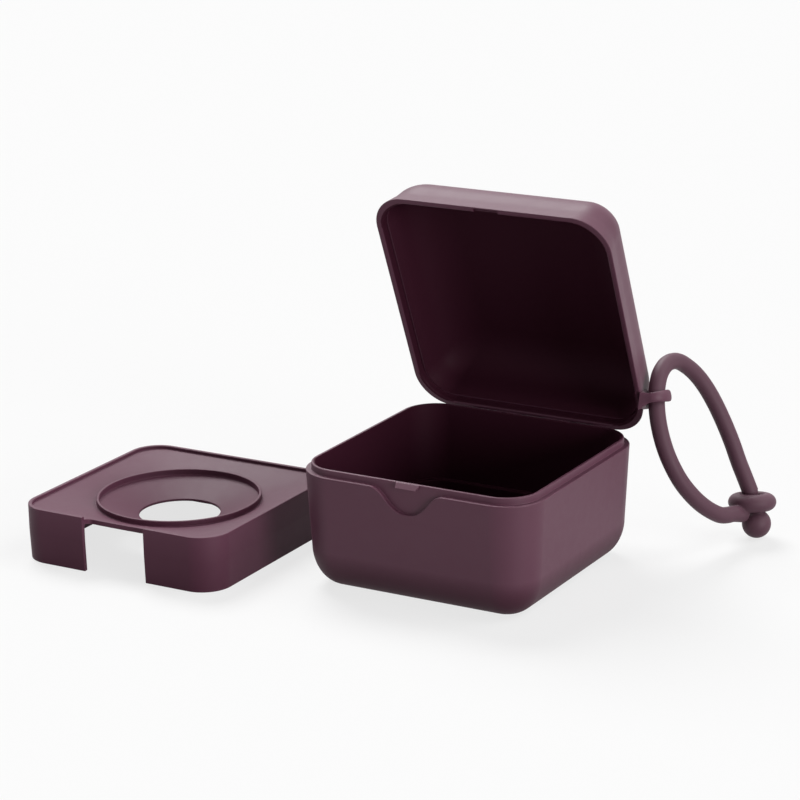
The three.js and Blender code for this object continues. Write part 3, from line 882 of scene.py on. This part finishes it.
work(eyelet, lid_form("lid_hollow", hollow_rows), "DIFFERENCE")
work(lid_shell, eyelet, "UNION")
bore_knuckles(lid_shell)
# Painted shade on the lid's inside, reaching a little way over its rim.
painted_shade_reach = rebate_half + rim_inner_round * painted_shade_rim_share
mark_painted_shade(lid_shell, middle=(0, 0, lid_mouth + lid_skirt), reach=painted_shade_reach)

# The lid stands open: its mesh turns about the hinge's axis.
hinge_axis = Vector((0, hinge_y, hinge_z)) * mm
opening = Matrix.Rotation(-lid_open, 4, "X")
lid_shell.data.transform(Matrix.Translation(hinge_axis) @ opening @ Matrix.Translation(-hinge_axis))
even_light(lid_shell)
dress(lid_shell, shell_plastic)
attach(lid_shell, "lid")
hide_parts("lid")


# Hinge pin
# A smooth plastic rod with broken edges at its ends, pushed through the knuckles of the base and the lid.
pin_half = hinge_width / 2 - knuckle_side_gap
pin_edge = 0.3
hinge_pin = barrel(pin_radius, -pin_half, pin_half, pin_edge)
hinge_pin.name = "hinge_pin_rod"
even_light(hinge_pin)
dress(hinge_pin, moulded_plastic("pin_plastic", roughness=0.3, grain=0.15))
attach(hinge_pin, "case")
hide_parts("hinge_pin")


# Insert tray
# One moulding of the same plastic that lifts out: a thin rim, a falling deck, a raised ring round a dish
# with a hole, a straight skirt whose lower part leans in, and a notch for a finger at the front.
tray_gap = 0.35  # between the tray and the base's walls, when it lies in the base
tray_half = lip_half - lip_wall - tray_gap
tray_corner = base_corner - lip_inset - lip_wall - tray_gap
tray_stand_off = 19.4  # from the base's wall to the tray, where it stands by itself
tray_forward = 24.5
tray_place = Vector((-base_half - tray_stand_off - tray_half, -tray_forward, 0))
tray_height = 20.5
tray_wall = 1.6
tray_rim_width = 1.5
tray_rim_round = 0.35
tray_edge_round = 0.3
tray_hollow_round = 0.25
tray_dish_round = 0.4
tray_underside_round = 0.5
tray_bend_round = 12  # where the straight skirt starts to lean in
tray_taper = 0.4
tray_taper_rise = 11
deck_drop = 1.1
deck_fall = 3
deck_thickness = 1.9
tray_ring_radius = 30.2
tray_ring_width = 1
tray_ring_drop = 2
tray_hole_radius = 14.9
tray_hole_drop = 8.9
tray_hole_edge = 0.9
notch_width = 26.2
notch_depth = 4.5
notch_corner = 1.6
notch_edge = 0.25
side_steps = 12


def eased(corners, steps=5):
    """A closed section with its corners rounded: each corner is a size, a height, a rounding and a kind."""
    section = []
    for i, (size, height, rounding, kind) in enumerate(corners):
        if not rounding:
            section.append((size, height, kind))
            continue
        at = Vector((size, height))
        before = Vector(corners[i - 1][:2]) - at
        after = Vector(corners[(i + 1) % len(corners)][:2]) - at
        half_angle = before.angle(after) / 2
        before.normalize()
        after.normalize()
        reach = rounding / math.tan(half_angle)
        middle = at + (before + after).normalized() * rounding / math.sin(half_angle)
        start = at + before * reach - middle
        end = at + after * reach - middle
        swing = start.angle(end)
        for step in range(steps + 1):
            t = step / steps
            arm = (start * math.sin((1 - t) * swing) + end * math.sin(t * swing)) / math.sin(swing)
            section.append((*(middle + arm), kind))
    return section


def square_reach(way, half, corner):
    """How far a square with round corners reaches from its middle, along a way."""
    reach = half / max(abs(way.x), abs(way.y))
    inner = half - corner
    if min(abs(way.x), abs(way.y)) * reach > inner:
        turn_centre = Vector((math.copysign(inner, way.x), math.copysign(inner, way.y), 0))
        along = way.dot(turn_centre)
        reach = along + math.sqrt(along**2 - turn_centre.length_squared + corner**2)
    return reach


rim_inner = tray_half - tray_rim_width
wall_inner = tray_half - tray_wall
ring_inner = tray_ring_radius - tray_ring_width
ring_foot = tray_height - deck_drop - deck_fall
ring_top = tray_height - tray_ring_drop
hole_edge = tray_height - tray_hole_drop
tray_section = eased([
    (tray_half - tray_taper, 0, tray_edge_round, "square"),
    (tray_half, tray_taper_rise, tray_bend_round, "square"),
    (tray_half, tray_height, tray_rim_round, "square"),
    (rim_inner, tray_height, tray_rim_round, "square"),
    (rim_inner, tray_height - deck_drop, tray_hollow_round, "square"),
    (tray_ring_radius, ring_foot, tray_edge_round, "round"),
    (tray_ring_radius, ring_top, tray_edge_round, "round"),
    (ring_inner, ring_top, tray_edge_round, "round"),
    (ring_inner, ring_foot, tray_dish_round, "round"),
    (tray_hole_radius, hole_edge, tray_edge_round, "round"),
    (tray_hole_radius, hole_edge - tray_hole_edge, tray_hollow_round, "round"),
    (ring_inner, ring_foot - deck_thickness, 0, "round"),
    (wall_inner, tray_height - deck_drop - deck_thickness, tray_underside_round, "square"),
    (wall_inner, tray_taper_rise, tray_bend_round, "square"),
    (wall_inner - tray_taper, 0, tray_edge_round, "square"),
])
tray_ways = []
for side in range(4):
    facing = math.pi / 2 * (side - 1)
    out = Vector((math.cos(facing), math.sin(facing), 0))
    along = Vector((-out.y, out.x, 0))
    inner = tray_half - tray_corner
    for step in range(side_steps):
        tray_ways.append((out * tray_half + along * inner * (2 * step / side_steps - 1)).normalized())
    for step in range(corner_steps):
        turn = facing + math.pi / 2 * step / corner_steps
        arm = Vector((math.cos(turn), math.sin(turn), 0)) * tray_corner
        tray_ways.append(((out + along) * inner + arm).normalized())
tray_columns = []
for way in tray_ways:
    column = []
    for size, height, kind in tray_section:
        reach = size if kind == "round" else square_reach(way, size, tray_corner - tray_half + size)
        column.append(tray_place + way * reach + Vector((0, 0, height)))
    tray_columns.append(column)
tray = wall_of("insert_tray_plate", tray_columns, closed=True)

# The notch is open in front and goes right through deck and skirt, with two round corners behind.
notch_back = notch_depth - tray_half
notch_outline = [(-notch_width / 2, -tray_half - sink), (notch_width / 2, -tray_half - sink)]
for sine, cosine in quarter(6):
    notch_outline.append((
        notch_width / 2 - notch_corner * (1 - cosine), notch_back - notch_corner * (1 - sine),
    ))
for sine, cosine in quarter(6):
    notch_outline.append((
        -notch_width / 2 + notch_corner * (1 - sine), notch_back - notch_corner * (1 - cosine),
    ))
notch_outline = [(tray_place.x + x, tray_place.y + y) for x, y in notch_outline]
work(tray, prism(notch_outline, -sink, tray_height + sink, axis=2), "DIFFERENCE")
soften(tray, notch_edge, turn=60)
# Painted shade: the tray grows darker towards its bottom.
mark_painted_shade(tray, foot=tray_height, foot_painted_shade=0.4)
even_light(tray)
dress(tray, moulded_plastic("tray_plastic", roughness=0.48, grain=0.3, shine=0.24))
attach(tray, "tray")
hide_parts("insert_tray")


# Floor, light and surroundings
# A pale studio: a white floor that keeps a soft shadow, a white surround, a low broad light from the right,
# a stronger one above and behind on the left that glances off the open lid, and one above on the right.
floor_half = 6000
floor_level = -0.1  # a little under the case, so that no two faces lie in one plane
floor_ways = ((-1, -1), (1, -1), (1, 1), (-1, 1))
floor_corners = [(x * floor_half, y * floor_half, floor_level) for x, y in floor_ways]
floor = mesh_of("floor", floor_corners, [(0, 1, 2, 3)])
white_level = 0.96
surround_level = 0.08
floor_glow_share = 0.78


def seen_directly(shade):
    """Where a ray comes from the camera or by way of gloss or glass, for a surround that shows white."""
    seen = [
        shade.node("ShaderNodeLightPath", {}, output=kind)
        for kind in ("Is Camera Ray", "Is Glossy Ray", "Is Transmission Ray")
    ]
    return shade.maths("MINIMUM", seen[0] + seen[1] + seen[2], 1.0)


# The camera sees white paper. The light that the floor throws back on the case comes off a duller one.
floor_white, shade = blank_material("floor_white")
dull_paper = shade.node("ShaderNodeBsdfDiffuse", {"Color": (0.4, 0.37, 0.38, 1)})
white_paper = shade.node("ShaderNodeBsdfDiffuse", {"Color": (0.82, 0.82, 0.82, 1)})
glow = shade.node("ShaderNodeEmission", {"Color": (1, 1, 1, 1), "Strength": white_level})
bright = shade.node("ShaderNodeMixShader", {0: floor_glow_share, 1: white_paper, 2: glow})
both = shade.node("ShaderNodeMixShader", {0: seen_directly(shade), 1: dull_paper, 2: bright})
shade.node("ShaderNodeOutputMaterial", {"Surface": both})
dress(floor, floor_white)

world = bpy.data.worlds.new("studio")
world.use_nodes = True
world.node_tree.nodes.clear()
bpy.context.scene.world = world
shade = Shade(world.node_tree)
dim = shade.node("ShaderNodeBackground", {"Color": (1, 1, 1, 1), "Strength": surround_level})
white = shade.node("ShaderNodeBackground", {"Color": (1, 1, 1, 1), "Strength": white_level})
both = shade.node("ShaderNodeMixShader", {0: seen_directly(shade), 1: dim, 2: white})
shade.node("ShaderNodeOutputWorld", {"Surface": both})


def distant_light(name, source_way, width, strength):
    """A far light that shines from a way, as wide as an angle in degrees."""
    light = bpy.data.lights.new(name, "SUN")
    light.angle = math.radians(width)
    light.energy = strength
    lamp = piece_of(name, light)
    lamp.rotation_euler = (-Vector(source_way)).to_track_quat("-Z", "Y").to_euler()


distant_light("light_right", source_way=(0.92, -0.36, 0.16), width=26, strength=1.6)
distant_light("light_above", source_way=(-0.44, 0.41, 0.79), width=30, strength=2.95)
distant_light("light_behind", source_way=(0.62, 0.25, 0.74), width=40, strength=1.35)
